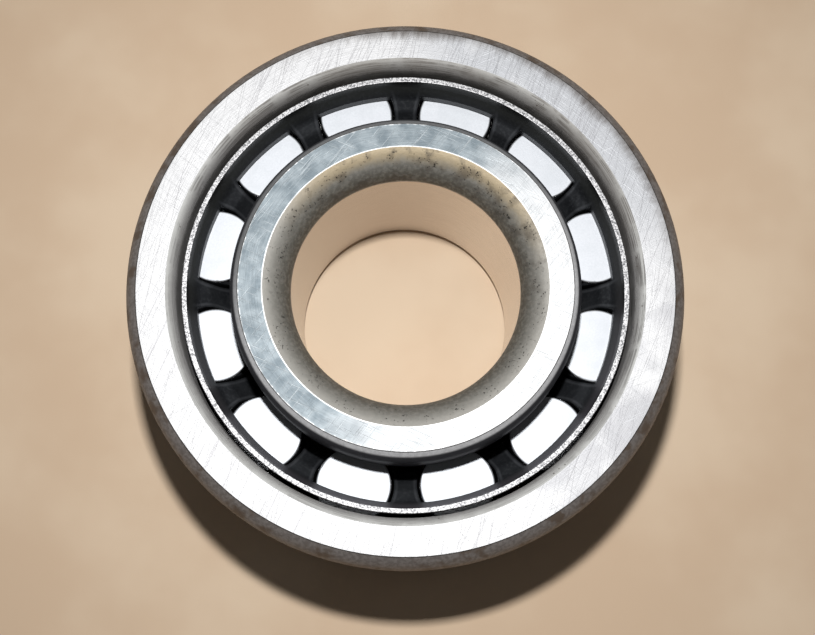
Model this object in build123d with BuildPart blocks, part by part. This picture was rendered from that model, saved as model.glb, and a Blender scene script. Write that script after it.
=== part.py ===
"""Cylindrical roller bearing, 30 x 72 x 27 mm, medium-wide series.

The outer ring has two fixed flanges and the inner ring has one, on the +Z side.
Twelve rollers run between the rings, spaced by a one-piece cage of pressed steel.
The origin is the centre of the bearing and +Z runs along its axis.  Millimetres.
"""

from build123d import *

import os
from math import cos, radians, sin

os.makedirs("parts", exist_ok=True)

# ---- Boundary dimensions -------------------------------------------------------
bore_radius = 15.0
outside_radius = 36.0
half_width = 27.0 / 2

# ---- Rollers and raceways ------------------------------------------------------
roller_count = 12
roller_length = 14.0
inner_raceway_radius = 21.0
outer_raceway_radius = 31.0
race_clearance = 0.02      # running gap between a roller and each raceway
end_clearance = 0.05       # gap between a roller end and a flange
roller_edge_radius = 0.35

pitch_radius = (inner_raceway_radius + outer_raceway_radius) / 2
roller_radius = (outer_raceway_radius - inner_raceway_radius) / 2 - race_clearance
roller_step = 360 / roller_count
first_roller_angle = roller_step / 2
flange_face = roller_length / 2 + end_clearance

# ---- Grinding reliefs where a raceway meets a flange ---------------------------
relief_depth = 0.3
relief_width = 0.6

# ---- Outer ring ----------------------------------------------------------------
outer_flange_radius = 29.5
outer_corner = (1.74, 2.67)          # radial and axial size of the outside corners
outer_entry_corner = (1.07, 1.75)    # the corners at the mouth of each flange
flange_lip = 0.3                     # small bevel on a flange's inner edge

# ---- Inner ring ----------------------------------------------------------------
inner_flange_radius = 22.7
inner_flange_corner = (1.29, 2.3)
large_bore_corner = (3.3, 4.02)      # unground corner on the flange side
large_bore_corner_lean = 9.0         # degrees between the bore and the start of that corner
small_bore_corner = (1.2, 1.2)
lead_in = (0.8, 2.0)                 # where the raceway runs out on the open side

# ---- Cage ----------------------------------------------------------------------
sheet = 0.7                          # sheet thickness
cage_half_length = 11.1
rim_radius = 28.96                   # outside of the cage at its two ends
rim_land = 1.0                       # straight length of each rim
rim_bend = 1.5                       # radius of the bend below each rim
rim_edge = 0.1                       # rounding of the sheared edge
wall_radius = 28.15                  # outside of the cage between its two ends
neck_height = 8.6                    # where each end has narrowed down to the wall
pocket_radius = roller_radius + 0.27
pocket_half_length = roller_length / 2 + 0.2
bar_root = (27.3, 8.0)               # radius and height where a bar leaves the rim
bar_bend = (25.8, 6.9)               # where it turns to dive between the rollers
bar_shoulder = (22.9, 2.4)           # where it levels out, closest to the inner ring
bar_roundings = (1.5, 1.5, 1.4)      # radii at those three places
hollow_root = (27.7, 7.43)           # the same three places on the outer side of the sheet
hollow_bend = (26.3, 6.4)
hollow_shoulder = (23.6, 2.2)
hollow_roundings = (1.6, 0.7)        # radii at the last two


def rounded(wall_end, face_edge, upward, lean=0.0):
    """A ring's rounded corner, from the end of a wall to the edge that it makes with a side face.

    It starts in line with the wall, or leaning off it by some degrees.
    """
    start = (sin(radians(lean)), cos(radians(lean)))
    return TangentArc(wall_end, face_edge, tangent=start if upward else (start[0], -start[1]))


# ---- Outer ring: a revolved half profile, mirrored about the middle plane -------
with BuildPart() as outer_ring:
    with BuildSketch(Plane.XZ) as outer_profile:
        with BuildLine():
            face_outer = (outside_radius - outer_corner[0], half_width)
            wall_top = (outside_radius, half_width - outer_corner[1])
            face_inner = (outer_flange_radius + outer_entry_corner[0], half_width)
            mouth = (outer_flange_radius, half_width - outer_entry_corner[1])
            Polyline(
                mouth,
                (outer_flange_radius, flange_face + flange_lip),
                (outer_flange_radius + flange_lip, flange_face),
                (outer_raceway_radius + relief_depth, flange_face),
                (outer_raceway_radius + relief_depth, flange_face - relief_width),
                (outer_raceway_radius, flange_face - relief_width - relief_depth),
                (outer_raceway_radius, 0),
                (outside_radius, 0),
                wall_top,
            )
            rounded(wall_top, face_outer, upward=True)
            Line(face_outer, face_inner)
            rounded(mouth, face_inner, upward=True)
        make_face()
    revolve(axis=Axis.Z)
    mirror(about=Plane.XY)
outer_ring.part.label = "outer_ring"
export_step(outer_ring.part, "parts/outer_ring.step")

# ---- Inner ring: one flange on the +Z side, raceway open on the -Z side ---------
with BuildPart() as inner_ring:
    with BuildSketch(Plane.XZ) as inner_profile:
        with BuildLine():
            bore_top = (bore_radius, half_width - large_bore_corner[1])
            face_bore_edge = (bore_radius + large_bore_corner[0], half_width)
            face_flange_edge = (inner_flange_radius - inner_flange_corner[0], half_width)
            flange_top = (inner_flange_radius, half_width - inner_flange_corner[1])
            run_out = (inner_raceway_radius, -half_width + lead_in[1])
            base_outer = (inner_raceway_radius - lead_in[0], -half_width)
            base_inner = (bore_radius + small_bore_corner[0], -half_width)
            bore_base = (bore_radius, -half_width + small_bore_corner[1])
            Line(bore_base, bore_top)
            rounded(bore_top, face_bore_edge, upward=True, lean=large_bore_corner_lean)
            Line(face_bore_edge, face_flange_edge)
            rounded(flange_top, face_flange_edge, upward=True)
            Polyline(
                flange_top,
                (inner_flange_radius, flange_face + flange_lip),
                (inner_flange_radius - flange_lip, flange_face),
                (inner_raceway_radius - relief_depth, flange_face),
                (inner_raceway_radius - relief_depth, flange_face - relief_width),
                (inner_raceway_radius, flange_face - relief_width - relief_depth),
                run_out,
            )
            rounded(run_out, base_outer, upward=False)
            Line(base_outer, base_inner)
            rounded(bore_base, base_inner, upward=False)
        make_face()
    revolve(axis=Axis.Z)
inner_ring.part.label = "inner_ring"
export_step(inner_ring.part, "parts/inner_ring.step")

# ---- Hollows: what pressing leaves on the outside of the bars, to be cut from the cage ----
with BuildPart() as hollows:
    with BuildSketch(Plane.XZ):
        with BuildLine():
            FilletPolyline(
                (hollow_shoulder[0], 0),
                hollow_shoulder,
                hollow_bend,
                hollow_root,
                (outside_radius, hollow_root[1]),
                radius=[hollow_roundings[1], hollow_roundings[0], 0.1],
            )
            Polyline((outside_radius, hollow_root[1]), (outside_radius, 0), (hollow_shoulder[0], 0))
        make_face()
    revolve(axis=Axis.Z)
    mirror(about=Plane.XY)
    with PolarLocations(pitch_radius, roller_count, first_roller_angle):
        Cylinder(pocket_radius + sheet, 2 * half_width, mode=Mode.SUBTRACT)

# ---- Cage: a necked sheet ring with a pressed bar between each pair of rollers ---
with BuildPart() as cage:
    with BuildSketch(Plane.XZ):
        with BuildLine():
            rim_height = cage_half_length - rim_land
            FilletPolyline(
                (rim_radius, 0),
                (rim_radius, cage_half_length),
                (rim_radius - sheet, cage_half_length),
                (rim_radius - sheet, rim_height),
                bar_root,
                bar_bend,
                bar_shoulder,
                (bar_shoulder[0], 0),
                radius=[rim_edge, rim_edge, rim_bend, *bar_roundings],
            )
            Line((bar_shoulder[0], 0), (rim_radius, 0))
        make_face()
        with BuildLine():
            FilletPolyline(
                (wall_radius, 0),
                (wall_radius, neck_height - sheet),
                (rim_radius, rim_height - sheet),
                (rim_radius, rim_height),
                radius=[rim_bend, 2 * sheet],
            )
            Polyline((rim_radius, rim_height), (outside_radius, rim_height), (outside_radius, 0))
            Line((outside_radius, 0), (wall_radius, 0))
        make_face(mode=Mode.SUBTRACT)
    revolve(axis=Axis.Z)
    mirror(about=Plane.XY)
    # the pockets, and above and below them the mouths that show the roller ends
    with PolarLocations(pitch_radius, roller_count, first_roller_angle):
        Cylinder(pocket_radius, 2 * pocket_half_length, mode=Mode.SUBTRACT)
    with BuildSketch(Plane.XY.offset(-half_width)):
        with PolarLocations(pitch_radius, roller_count, first_roller_angle):
            Circle(pocket_radius)
        Circle(wall_radius - sheet, mode=Mode.INTERSECT)
    extrude(amount=2 * half_width, mode=Mode.SUBTRACT)
    add(hollows.part, mode=Mode.SUBTRACT)
cage.part.label = "cage"
export_step(cage.part, "parts/cage.step")

# ---- Rollers: twelve alike, each its own piece ----------------------------------
for index in range(roller_count):
    angle = radians(first_roller_angle + roller_step * index)
    centre = (pitch_radius * cos(angle), pitch_radius * sin(angle), 0)
    with BuildPart(Plane(origin=centre)) as roller:
        Cylinder(roller_radius, roller_length)
        fillet(roller.edges(), roller_edge_radius)
    roller.part.label = f"roller_{index + 1:02d}"
    export_step(roller.part, f"parts/{roller.part.label}.step")
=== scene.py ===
"""Looks of the cylindrical roller bearing: camera, light, floor and worn-steel materials."""

from math import cos, radians, sin

import bpy
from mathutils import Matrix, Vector


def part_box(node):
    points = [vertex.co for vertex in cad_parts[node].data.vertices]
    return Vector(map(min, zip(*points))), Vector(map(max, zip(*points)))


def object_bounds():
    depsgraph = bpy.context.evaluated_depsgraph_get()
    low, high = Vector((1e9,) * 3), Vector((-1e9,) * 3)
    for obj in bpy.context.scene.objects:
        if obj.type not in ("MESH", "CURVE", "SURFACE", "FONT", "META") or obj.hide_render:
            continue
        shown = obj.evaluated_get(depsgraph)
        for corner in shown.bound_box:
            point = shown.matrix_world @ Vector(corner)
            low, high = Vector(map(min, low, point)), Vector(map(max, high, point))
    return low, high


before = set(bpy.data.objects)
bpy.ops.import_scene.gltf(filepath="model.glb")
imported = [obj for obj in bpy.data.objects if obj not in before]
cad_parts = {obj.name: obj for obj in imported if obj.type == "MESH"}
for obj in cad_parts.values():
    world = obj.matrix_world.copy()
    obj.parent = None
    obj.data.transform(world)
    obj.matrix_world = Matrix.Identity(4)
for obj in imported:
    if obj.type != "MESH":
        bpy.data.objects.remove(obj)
cad_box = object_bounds()

MM = 0.001

# Sizes read back from the frame, in millimetres, so that the finishes follow the parts.
outer_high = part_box("outer_ring")[1] / MM
cage_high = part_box("cage")[1] / MM
roller_low, roller_high = (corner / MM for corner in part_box("roller_01"))
roller_centre = (roller_low + roller_high) / 2
roller_names = [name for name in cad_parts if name.startswith("roller_")]
HALF_WIDTH = outer_high.z
OUTSIDE_RADIUS = outer_high.x
CAGE_TOP = cage_high.z
ROLLER_TOP = roller_high.z
ROLLER_RADIUS = (roller_high.x - roller_low.x) / 2
ROLLER_STEP = radians(360 / len(roller_names))
PITCH_RADIUS = (roller_centre.x**2 + roller_centre.y**2) ** 0.5

# Outer ring: radii of the ground face's two edges, and heights where the outside corner
# begins and where the bevel under the flange's bore ends.
OUTER_FACE_EDGE = OUTSIDE_RADIUS - 1.74
OUTER_FACE_MOUTH = 30.57
OUTER_WALL_TOP = HALF_WIDTH - 2.67
FLANGE_LIP_TOP = ROLLER_TOP + 0.4

# Inner ring: the same for its face on the flange side and on the base, and for its bore.
INNER_FACE_EDGE = 21.41
INNER_FACE_MOUTH = 18.3
BASE_FACE_EDGE = 20.2
BASE_FACE_MOUTH = 16.2
BORE_RADIUS = 15.0
BORE_WALL_TOP = HALF_WIDTH - 4.02

# Depth below a side face that still counts as that face, and the softness of a face's edges.
FACE_DEPTH = 0.25
FACE_SOFT = 0.05
EDGE_SOFT = 0.04

# Places of marks, in millimetres: radii on the rings, heights on the cage.
MOUTH_SHADE = (29.6, 30.7)
BORE_TAN_REFLECTION_START = 16.9
BORE_PITS = (15.9, 17.9)
CAGE_NECK = (8.0, 9.6)


# ---- Shader building -----------------------------------------------------------


class Surface:
    """A material under construction: short names for the node types that the finishes share."""

    def __init__(self, name):
        self.material = bpy.data.materials.new(name)
        self.material.use_nodes = True
        self.nodes = self.material.node_tree.nodes
        self.links = self.material.node_tree.links
        self.shader = self.nodes["Principled BSDF"]
        coordinates = self.nodes.new("ShaderNodeTexCoord")
        scaled = self.nodes.new("ShaderNodeVectorMath")
        scaled.operation = "SCALE"
        scaled.inputs["Scale"].default_value = 1 / MM
        self.links.new(coordinates.outputs["Object"], scaled.inputs[0])
        self.place = scaled.outputs[0]
        split = self.nodes.new("ShaderNodeSeparateXYZ")
        self.links.new(self.place, split.inputs[0])
        self.x, self.y, self.z = split.outputs
        self.height = self.math("ABSOLUTE", self.z)
        self.radius = self.length(self.x, self.y)
        self.angle = self.math("ARCTAN2", self.y, self.x)

    def put(self, socket, value):
        """Sets a socket to a number or colour, or links a node's output to it."""
        if isinstance(value, bpy.types.NodeSocket):
            self.links.new(value, socket)
        elif isinstance(value, tuple) and len(value) == 3 and len(socket.default_value) == 4:
            socket.default_value = (*value, 1)
        else:
            socket.default_value = value

    # Arithmetic on numbers and on node outputs.

    def math(self, operation, first, second=None):
        node = self.nodes.new("ShaderNodeMath")
        node.operation = operation
        self.put(node.inputs[0], first)
        if second is not None:
            self.put(node.inputs[1], second)
        return node.outputs[0]

    def product(self, *values):
        result = values[0]
        for value in values[1:]:
            result = self.math("MULTIPLY", result, value)
        return result

    def total(self, *values):
        result = values[0]
        for value in values[1:]:
            result = self.math("ADD", result, value)
        return result

    def most(self, first, second):
        return self.math("MAXIMUM", first, second)

    def flip(self, value):
        return self.math("SUBTRACT", 1.0, value)

    def length(self, along, across):
        return self.math("SQRT", self.total(self.product(along, along), self.product(across, across)))

    def vector(self, x, y, z):
        node = self.nodes.new("ShaderNodeCombineXYZ")
        for socket, value in zip(node.inputs, (x, y, z)):
            self.put(socket, value)
        return node.outputs[0]

    # Masks: one where they apply and zero elsewhere.

    def step(self, value, low, high, bottom=0.0, top=1.0):
        """Rises smoothly from bottom to top as the value goes from low to high."""
        node = self.nodes.new("ShaderNodeMapRange")
        node.interpolation_type = "SMOOTHSTEP"
        for index, item in enumerate((value, low, high, bottom, top)):
            self.put(node.inputs[index], item)
        return node.outputs[0]

    def above(self, value, level, soft):
        return self.step(value, level - soft, level + soft)

    def below(self, value, level, soft):
        return self.step(value, level + soft, level - soft)

    def band(self, value, low, high, soft):
        return self.product(self.above(value, low, soft), self.below(value, high, soft))

    # Directions and patterns.

    def directions(self):
        return self.math("COSINE", self.angle), self.math("SINE", self.angle)

    def facing(self, degrees):
        """One where a point lies in this direction from the axis, and minus one opposite."""
        across, up = self.directions()
        turn = radians(degrees)
        return self.total(self.product(across, cos(turn)), self.product(up, sin(turn)))

    def noise(self, vector, scale, detail=3.0, roughness=0.55):
        node = self.nodes.new("ShaderNodeTexNoise")
        self.put(node.inputs["Vector"], vector)
        node.inputs["Scale"].default_value = scale
        node.inputs["Detail"].default_value = detail
        node.inputs["Roughness"].default_value = roughness
        return node.outputs["Fac"]

    def specks(self, scale, size):
        """Scattered round specks: one inside each, zero between them."""
        node = self.nodes.new("ShaderNodeTexVoronoi")
        self.put(node.inputs["Vector"], self.place)
        node.inputs["Scale"].default_value = scale
        return self.step(node.outputs["Distance"], size, size * 0.4)

    def turned(self, along, across, detail=4.0):
        """Fine lines around the axis: slow change along them and quick change across them."""
        around = [self.math("MULTIPLY", trig, along) for trig in self.directions()]
        depth = self.math("MULTIPLY", self.math("ADD", self.radius, self.z), across)
        return self.noise(self.vector(*around, depth), 1.0, detail)

    def rays(self, width, length):
        """Streaks that run straight out from the axis, with their width and length in millimetres."""
        around = self.math("MULTIPLY", self.angle, OUTSIDE_RADIUS / width)
        return self.noise(self.vector(around, self.product(self.radius, 1 / length), self.z), 1.0, 4.0)

    def scuffs(self, width, length):
        """Marks that run along the axis on a round wall, as a tight housing leaves them."""
        around = self.product(self.angle, OUTSIDE_RADIUS / width)
        return self.noise(self.vector(around, self.product(self.z, 1 / length), 0.0), 1.0, 2.0)

    def scratches(self, direction, length, spacing, amount):
        """Straight hand-made scratches across a flat face, at one angle in degrees."""
        turn = radians(direction)
        along = self.total(self.product(self.x, cos(turn)), self.product(self.y, sin(turn)))
        across = self.total(self.product(self.y, cos(turn)), self.product(self.x, -sin(turn)))
        vector = self.vector(self.product(along, 1 / length), self.product(across, 1 / spacing), self.z)
        return self.step(self.noise(vector, 1.0, 2.0), 1 - amount, 1 - amount + 0.08)

    # Colour, relief and the finished material.

    def blend(self, factor, first, second):
        """Mixes two colours, or two numbers when both are numbers or float sockets."""
        node = self.nodes.new("ShaderNodeMix")
        colours = any(isinstance(v, tuple) or getattr(v, "type", "") == "RGBA" for v in (first, second))
        node.data_type = "RGBA" if colours else "FLOAT"
        slots = (6, 7, 2) if colours else (2, 3, 0)
        self.put(node.inputs[0], factor)
        self.put(node.inputs[slots[0]], first)
        self.put(node.inputs[slots[1]], second)
        return node.outputs[slots[2]]

    def shade(self, pattern, first, second, low=0.3, high=0.7):
        """Goes from one colour to another as a pattern rises from low to high."""
        return self.blend(self.step(pattern, low, high), first, second)

    def coat(self, under, colour, *masks):
        """Lays a colour over another, as far as all the masks and strengths let it."""
        return self.blend(self.product(*masks), under, colour)

    def relief(self, height, strength, distance):
        """Tilts the surface by a height pattern, in millimetres, on top of any earlier relief."""
        node = self.nodes.new("ShaderNodeBump")
        self.put(node.inputs["Height"], height)
        node.inputs["Strength"].default_value = strength
        node.inputs["Distance"].default_value = distance * MM
        before = self.shader.inputs["Normal"]
        if before.is_linked:
            self.links.new(before.links[0].from_socket, node.inputs["Normal"])
        self.links.new(node.outputs[0], before)

    def finish(self, colour, roughness, metallic=1.0):
        self.put(self.shader.inputs["Base Color"], colour)
        self.put(self.shader.inputs["Roughness"], roughness)
        self.put(self.shader.inputs["Metallic"], metallic)
        return self.material


# ---- Outer ring ----------------------------------------------------------------


def outer_ring_steel():
    """Ground faces with hand-sanding marks and painted shade on one side, dull brown corners edged with a
    painted dark line, painted shade in the mouth, a used outside and a few rust specks.
    """
    s = Surface("outer_ring_steel")
    face = s.product(
        s.band(s.radius, OUTER_FACE_MOUTH, OUTER_FACE_EDGE, EDGE_SOFT),
        s.above(s.height, HALF_WIDTH - FACE_DEPTH, FACE_SOFT),
    )
    outside = s.above(s.radius, OUTER_FACE_EDGE, EDGE_SOFT)
    corner = s.product(outside, s.step(s.height, OUTER_WALL_TOP - 0.25, OUTER_WALL_TOP + 0.15))
    wall = s.product(outside, s.flip(corner))
    mouth = s.product(
        s.below(s.radius, OUTER_FACE_MOUTH, EDGE_SOFT),
        s.above(s.height, FLANGE_LIP_TOP, 0.1),
    )

    grinding = s.turned(9.0, 7.0)
    broad = s.noise(s.place, 0.09, 3.0)
    fine = s.noise(s.place, 2.2, 4.0)
    hatch = s.most(s.scratches(66, 26, 0.13, 0.40), s.scratches(79, 20, 0.10, 0.38))
    cross = s.most(s.scratches(-38, 4.5, 0.09, 0.40), s.scratches(22, 4, 0.10, 0.40))
    # Partly real sanding and partly painted shade: the face is greyer on its side between +x and +y, in
    # patches broken up by noise.
    sanded_and_shaded = s.product(s.step(s.facing(48), 0.66, 0.95), s.step(broad, 0.2, 0.45))
    worn = s.product(s.step(s.facing(-32), 0.72, 0.97), s.step(broad, 0.35, 0.55))
    dirt_reach = s.total(s.radius, s.product(s.rays(0.7, 3.0), 1.8), s.product(broad, 2.0))
    edge_dirt = s.product(
        s.step(dirt_reach, OUTER_FACE_EDGE + 0.4, OUTER_FACE_EDGE + 2.6),
        s.step(s.facing(62), 0.45, 0.9),
    )

    ground = s.shade(grinding, (0.58, 0.58, 0.585), (0.70, 0.70, 0.705))
    ground = s.coat(ground, (0.45, 0.46, 0.48), sanded_and_shaded, 0.85)
    ground = s.coat(ground, (0.34, 0.34, 0.36), worn, 0.55)
    ground = s.coat(ground, (0.38, 0.37, 0.39), hatch, s.step(broad, 0.35, 0.6, 0.1, 0.45))
    cross_strength = s.total(0.1, s.product(sanded_and_shaded, 0.5), s.product(worn, 0.6))
    ground = s.coat(ground, (0.66, 0.67, 0.69), cross, cross_strength)
    ground = s.coat(ground, (0.11, 0.088, 0.072), edge_dirt, 0.8)

    dull = s.shade(fine, (0.19, 0.168, 0.155), (0.27, 0.245, 0.230), 0.35, 0.65)
    dull = s.shade(s.noise(s.place, 0.4, 4.0), dull, (0.15, 0.115, 0.09), 0.5, 0.66)
    # Painted shade: a near-black line along the top of the corner, where it meets the face.
    dull = s.shade(s.radius, dull, (0.03, 0.026, 0.024), OUTER_FACE_EDGE + 0.22, OUTER_FACE_EDGE)

    fretted = s.step(s.noise(s.place, 0.14, 5.0), 0.5, 0.66)
    scuffed = s.product(s.step(s.scuffs(0.16, 10), 0.62, 0.72), s.step(fine, 0.35, 0.6))
    used_wall = s.shade(grinding, (0.42, 0.405, 0.39), (0.56, 0.55, 0.54))
    used_wall = s.coat(used_wall, (0.27, 0.24, 0.215), fretted, 0.45)
    used_wall = s.coat(used_wall, (0.74, 0.74, 0.74), scuffed, 0.6)

    smears = s.product(
        s.step(s.turned(4.0, 4.5), 0.44, 0.56),
        s.step(s.noise(s.place, 0.3, 4.0), 0.38, 0.54),
    )
    ragged_radius = s.total(s.radius, s.product(fine, 0.3))
    # Painted shade and painted reflection: the mouth is lighter at the face's edge and darker deeper in.
    entry = s.shade(ragged_radius, (0.38, 0.37, 0.36), (0.62, 0.62, 0.60), *MOUTH_SHADE)
    entry = s.coat(entry, (0.11, 0.10, 0.095), smears, s.step(s.facing(65), -0.4, 0.5, 0.3, 0.75))
    oiled = s.product(s.step(s.facing(75), 0.1, 0.9), s.step(broad, 0.3, 0.6, 0.25, 0.55))
    entry = s.coat(entry, (0.27, 0.245, 0.215), oiled)

    rust = s.product(s.specks(1.1, 0.16), s.step(s.noise(s.place, 0.22, 2.0), 0.52, 0.62), s.flip(face))
    inside = s.blend(mouth, s.shade(fine, (0.46, 0.46, 0.46), (0.58, 0.58, 0.575)), entry)
    inside = s.coat(inside, (0.07, 0.05, 0.04), rust, 0.85)

    colour = s.blend(face, s.blend(corner, s.blend(wall, inside, used_wall), dull), ground)
    rough_face = s.total(
        0.50,
        s.product(grinding, 0.14),
        s.product(broad, 0.05),
        s.product(edge_dirt, 0.1),
    )
    rough_rest = s.total(0.30, s.product(corner, 0.22), s.product(mouth, 0.22), s.product(fine, 0.1))
    metallic = s.flip(s.total(s.product(corner, 0.5), s.product(mouth, 0.7)))
    marks = s.total(s.product(grinding, 0.8), s.product(hatch, -0.6), s.product(cross, 0.4))
    s.relief(s.product(marks, face), 0.6, 0.02)
    s.relief(s.product(fine, s.total(corner, mouth, 0.25)), 0.35, 0.03)
    return s.finish(colour, s.blend(face, rough_rest, rough_face), metallic)


# ---- Inner ring ----------------------------------------------------------------


def inner_ring_steel():
    """Brushed bluish face with painted shade on one side, raw pitted bore corner with painted shade and a
    painted tan reflection, flange edge with painted highlight and shade, ground bore wall with painted
    shade on one side.
    """
    s = Surface("inner_ring_steel")
    top_face = s.product(
        s.band(s.radius, INNER_FACE_MOUTH, INNER_FACE_EDGE, EDGE_SOFT),
        s.above(s.z, HALF_WIDTH - FACE_DEPTH, FACE_SOFT),
    )
    base_face = s.product(
        s.band(s.radius, BASE_FACE_MOUTH, BASE_FACE_EDGE, EDGE_SOFT),
        s.below(s.z, FACE_DEPTH - HALF_WIDTH, FACE_SOFT),
    )
    face = s.most(top_face, base_face)
    inside = s.below(s.radius, INNER_FACE_MOUTH, EDGE_SOFT)
    bore_corner = s.product(inside, s.above(s.z, BORE_WALL_TOP, 0.3))
    bore_wall = s.product(inside, s.flip(bore_corner))
    flange_edge = s.product(
        s.step(s.radius, INNER_FACE_EDGE, INNER_FACE_EDGE + 0.06),
        s.step(s.z, ROLLER_TOP, ROLLER_TOP + 0.3),
    )

    grinding = s.turned(7.0, 6.0)
    broad = s.noise(s.place, 0.12, 3.0)
    cloud = s.noise(s.place, 0.45, 4.0)
    fine = s.noise(s.place, 2.0, 4.0)
    hatch = s.most(s.scratches(52, 6, 0.12, 0.40), s.scratches(-24, 5, 0.12, 0.38))

    bluish = s.shade(cloud, (0.155, 0.185, 0.205), (0.275, 0.31, 0.33))
    ground = s.shade(grinding, (0.48, 0.485, 0.49), (0.60, 0.605, 0.61))
    # Partly its own tone and partly painted shade: the face turns darker bluish grey towards the side
    # between -x and +y.
    ground = s.shade(s.total(s.facing(150), s.product(broad, 0.8)), ground, bluish, -0.35, 0.55)
    ground = s.coat(ground, (0.62, 0.66, 0.68), hatch, 0.4)
    # Painted highlight: a bright thin line along the edge of the bore, broken up by the cloud.
    bore_edge_highlight = s.product(
        s.band(s.radius, INNER_FACE_MOUTH - 0.1, INNER_FACE_MOUTH + 0.11, 0.05),
        s.step(cloud, 0.25, 0.5, 0.5, 1.0),
    )
    nicks = s.product(
        s.step(s.noise(s.place, 1.4, 5.0), 0.42, 0.62),
        s.step(cloud, 0.36, 0.6, 0.15, 0.8),
    )
    edge_rub = s.product(s.step(s.radius, INNER_FACE_EDGE - 0.17, INNER_FACE_EDGE - 0.05), nicks)
    # Lays on the painted highlight at the bore's edge and the rubbed nicks near the face's outer edge.
    ground = s.coat(ground, (0.86, 0.87, 0.88), s.math("MINIMUM", s.total(bore_edge_highlight, edge_rub), 1.0))

    # Painted reflection: a golden-tan patch on the +y side of the bore corner, standing in for the
    # reflection of the tan floor.
    tan_reflection_reach = s.total(s.radius, s.product(cloud, 1.6))
    tan_reflection = s.product(
        s.step(s.facing(82), 0.2, 0.85),
        s.step(tan_reflection_reach, BORE_TAN_REFLECTION_START, INNER_FACE_MOUTH),
    )
    grime = s.product(s.step(cloud, 0.48, 0.66), s.step(s.facing(70), -0.2, 0.7))
    pits = s.most(s.step(s.noise(s.place, 2.6, 2.0), 0.61, 0.66), s.specks(1.7, 0.22))
    pits = s.product(pits, s.step(cloud, 0.44, 0.58), s.band(s.radius, *BORE_PITS, 0.5))
    # Painted shade: the bore corner darkens from the face's edge towards the bore.
    raw = s.shade(s.radius, (0.13, 0.125, 0.105), (0.43, 0.415, 0.38), BORE_RADIUS, INNER_FACE_MOUTH)
    raw = s.coat(raw, (0.46, 0.44, 0.40), s.step(fine, 0.4, 0.65), 0.3)
    raw = s.coat(raw, (0.47, 0.36, 0.20), tan_reflection, 0.7)
    raw = s.coat(raw, (0.10, 0.085, 0.07), grime, 0.55)
    raw = s.coat(raw, (0.02, 0.018, 0.016), pits, 0.9)

    # Flange edge: a painted highlight as its light grey band, painted shade on its +y side, a
    # painted-shade dark band further out, and a painted-shade dark line where it meets the face.
    edge = s.shade(fine, (0.60, 0.60, 0.61), (0.74, 0.74, 0.75))
    edge = s.coat(edge, (0.12, 0.125, 0.13), s.step(s.facing(105), -0.3, 0.6, 0.0, 0.8))
    edge = s.shade(s.radius, edge, (0.05, 0.05, 0.056), INNER_FACE_EDGE + 0.5, INNER_FACE_EDGE + 0.78)
    edge = s.shade(s.radius, edge, (0.05, 0.05, 0.05), INNER_FACE_EDGE + 0.16, INNER_FACE_EDGE + 0.05)

    smooth = s.shade(grinding, (0.62, 0.57, 0.53), (0.72, 0.67, 0.63))
    # Painted shade: the bore wall is darker and browner towards the side between -x and +y.
    bore = s.coat(smooth, (0.34, 0.29, 0.25), s.step(s.facing(130), -0.1, 0.9, 0.0, 0.6))
    rest = s.blend(bore_corner, s.blend(bore_wall, s.blend(flange_edge, smooth, edge), bore), raw)
    rough_face = s.total(0.50, s.product(grinding, 0.12), s.product(broad, 0.06))
    rough_rest = s.total(
        0.2,
        s.product(bore_corner, 0.34),
        s.product(flange_edge, 0.25),
        s.product(fine, 0.08),
    )
    metallic = s.flip(s.total(s.product(bore_corner, 0.5), s.product(flange_edge, 0.6)))
    s.relief(s.total(s.product(grinding, face), s.product(hatch, face, -0.6)), 0.6, 0.02)
    s.relief(s.product(s.total(fine, s.product(pits, -0.8)), s.total(bore_corner, 0.1)), 0.5, 0.05)
    return s.finish(s.blend(face, rest, ground), s.blend(face, rough_rest, rough_face), metallic)


# ---- Cage and rollers ----------------------------------------------------------


def roller_reach(s):
    """Distance in millimetres from the axis of the nearest roller."""
    turn = s.math("SUBTRACT", s.math("FLOORED_MODULO", s.angle, ROLLER_STEP), ROLLER_STEP / 2)
    along = s.math("SUBTRACT", s.product(s.radius, s.math("COSINE", turn)), PITCH_RADIUS)
    across = s.product(s.radius, s.math("SINE", turn))
    return s.length(along, across)


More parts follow.
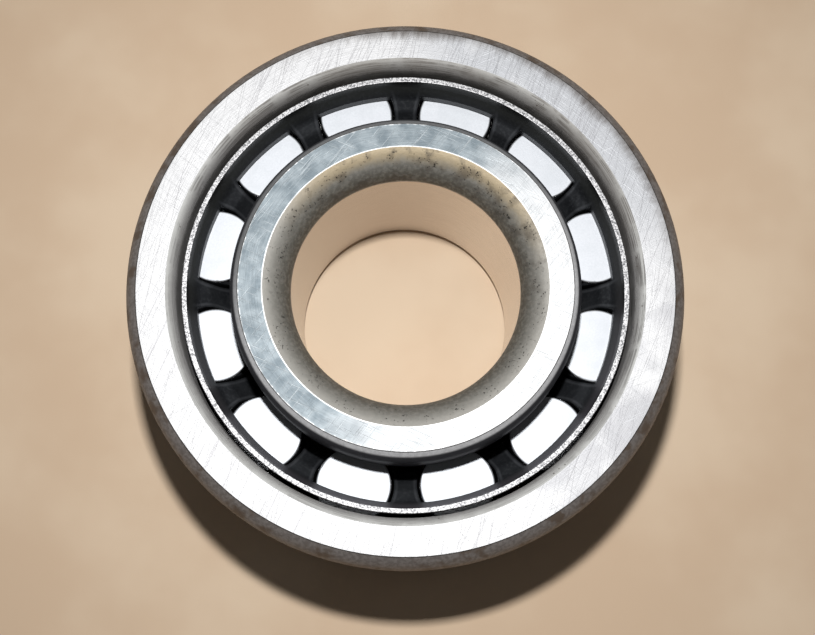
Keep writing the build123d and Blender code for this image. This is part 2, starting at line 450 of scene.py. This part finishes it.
def cage_steel():
    """Black-oxide sheet with bare sheared rims, and painted highlights along the pocket edges beside the
    rollers and on one side of the rim wall.
    """
    s = Surface("cage_black_oxide")
    bare = s.step(s.height, CAGE_TOP - 0.10, CAGE_TOP - 0.03)
    rim_wall = s.step(s.height, *CAGE_NECK)
    pocket_edge_highlight = s.product(
        s.band(roller_reach(s), ROLLER_RADIUS + 0.45, ROLLER_RADIUS + 0.75, 0.12),
        s.flip(rim_wall),
    )
    fine = s.noise(s.place, 2.4, 5.0)
    broad = s.noise(s.place, 0.25, 3.0)
    grain = s.noise(s.place, 5.0, 3.0, 0.7)

    oxide = s.shade(broad, (0.024, 0.026, 0.030), (0.040, 0.043, 0.048), 0.35, 0.65)
    oxide = s.blend(rim_wall, oxide, (0.048, 0.05, 0.048))
    oxide = s.coat(oxide, (0.075, 0.080, 0.085), s.step(fine, 0.45, 0.7), 0.35)
    # Painted highlight: lighter outlines along the pocket edges beside the rollers.
    oxide = s.coat(oxide, (0.10, 0.105, 0.115), pocket_edge_highlight, 0.6)
    # Painted highlight: the rim wall is lighter on its -y side.
    oxide = s.coat(oxide, (0.095, 0.09, 0.102), rim_wall, s.step(s.facing(-80), -0.3, 0.9))
    sheared = s.shade(grain, (0.13, 0.13, 0.135), (0.56, 0.555, 0.56), 0.42, 0.56)
    roughness = s.blend(bare, s.total(0.36, s.product(fine, 0.2)), s.total(0.38, s.product(grain, 0.25)))
    s.relief(s.total(s.product(fine, 0.4), s.product(grain, bare)), 0.5, 0.04)
    return s.finish(s.blend(bare, oxide, sheared), roughness, s.blend(bare, 0.6, 1.0))


def roller_steel():
    """Bright fine-ground ends with faint speckle, and polished barrels."""
    s = Surface("roller_steel")
    end = s.step(s.height, ROLLER_TOP - 0.12, ROLLER_TOP - 0.01)
    speckle = s.noise(s.place, 4.5, 3.0, 0.65)
    cloud = s.noise(s.place, 0.35, 2.0)
    lines = s.turned(4.0, 3.0)
    ground = s.shade(speckle, (0.48, 0.495, 0.52), (0.55, 0.565, 0.59))
    ground = s.coat(ground, (0.44, 0.46, 0.48), s.step(cloud, 0.4, 0.7), 0.35)
    barrel = s.shade(lines, (0.60, 0.60, 0.61), (0.68, 0.68, 0.69))
    roughness = s.blend(end, s.total(0.12, s.product(lines, 0.08)), s.total(0.52, s.product(speckle, 0.1)))
    s.relief(s.product(speckle, end), 0.3, 0.01)
    s.relief(s.product(lines, s.flip(end)), 0.12, 0.006)
    return s.finish(s.blend(end, barrel, ground), roughness)


def dress(node, material):
    """Gives a CAD node its finish."""
    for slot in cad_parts[node].material_slots:
        slot.material = material


dress("outer_ring", outer_ring_steel())
dress("inner_ring", inner_ring_steel())
dress("cage", cage_steel())
roller_finish = roller_steel()
for roller_name in roller_names:
    dress(roller_name, roller_finish)


# ---- Floor, light and camera -----------------------------------------------------

FLOOR_HALF_SIZE = 0.6
KEY_PLACE = (-3, 19, 188)
KEY_SIZE = (12, 10)
KEY_POWER = 0.36
HORIZON_STRENGTH = 0.32
OVERHEAD_STRENGTH = 0.045
HORIZON_HEIGHT = 0.05
OVERHEAD_HEIGHT = 0.55
CAMERA_PLACE = (-1.2, -35.0, HALF_WIDTH + 137.6)
CAMERA_TURN = (0.165, -0.010, 0)
CAMERA_LENS = 49.2
CAMERA_SHIFT = 0.0736


def floor_finish():
    """Pale warm board with a faint mottle."""
    s = Surface("pale_board")
    mottle = s.noise(s.place, 0.03, 4.0)
    grain = s.noise(s.place, 0.6, 4.0)
    colour = s.shade(mottle, (0.69, 0.51, 0.35), (0.77, 0.60, 0.43), 0.35, 0.65)
    s.relief(grain, 0.15, 0.1)
    return s.finish(colour, s.total(0.7, s.product(grain, 0.1)), 0.0)


def add_floor():
    """A flat board under the bearing."""
    half = FLOOR_HALF_SIZE
    mesh = bpy.data.meshes.new("floor")
    corners = [(-half, -half), (half, -half), (half, half), (-half, half)]
    mesh.from_pydata([(x, y, cad_box[0][2]) for x, y in corners], [], [(0, 1, 2, 3)])
    mesh.materials.append(floor_finish())
    floor = bpy.data.objects.new("floor", mesh)
    bpy.context.scene.collection.objects.link(floor)


def add_key():
    """A small rectangular lamp above the camera, pointed at the middle of the bearing."""
    light = bpy.data.lights.new("key", "AREA")
    light.shape = "RECTANGLE"
    light.size, light.size_y = KEY_SIZE[0] * MM, KEY_SIZE[1] * MM
    light.energy = KEY_POWER
    lamp = bpy.data.objects.new("key", light)
    lamp.location = Vector(KEY_PLACE) * MM
    lamp.rotation_euler = (-Vector(KEY_PLACE)).to_track_quat("-Z", "Y").to_euler()
    bpy.context.scene.collection.objects.link(lamp)


def add_world():
    """A dim studio, lighter towards the horizon, so that upright walls get more of it than the floor."""
    world = bpy.data.worlds.new("studio")
    world.use_nodes = True
    nodes, links = world.node_tree.nodes, world.node_tree.links
    direction = nodes.new("ShaderNodeTexCoord")
    split = nodes.new("ShaderNodeSeparateXYZ")
    strength = nodes.new("ShaderNodeMapRange")
    strength.interpolation_type = "SMOOTHSTEP"
    strength.inputs["From Min"].default_value = HORIZON_HEIGHT
    strength.inputs["From Max"].default_value = OVERHEAD_HEIGHT
    strength.inputs["To Min"].default_value = HORIZON_STRENGTH
    strength.inputs["To Max"].default_value = OVERHEAD_STRENGTH
    links.new(direction.outputs["Generated"], split.inputs[0])
    links.new(split.outputs["Z"], strength.inputs["Value"])
    background = nodes["Background"]
    background.inputs["Color"].default_value = (0.86, 0.85, 0.84, 1)
    links.new(strength.outputs["Result"], background.inputs["Strength"])
    bpy.context.scene.world = world


def add_camera():
    """A hand-held view from a little in front of the bearing, almost straight down."""
    scene = bpy.context.scene
    data = bpy.data.cameras.new("camera")
    data.sensor_width = 36
    data.lens = CAMERA_LENS
    data.shift_y = CAMERA_SHIFT
    data.clip_start = 0.01
    camera = bpy.data.objects.new("camera", data)
    camera.location = Vector(CAMERA_PLACE) * MM
    camera.rotation_euler = CAMERA_TURN
    scene.collection.objects.link(camera)
    scene.camera = camera


add_floor()
add_key()
add_world()
add_camera()
bpy.context.scene.view_settings.view_transform = "Standard"
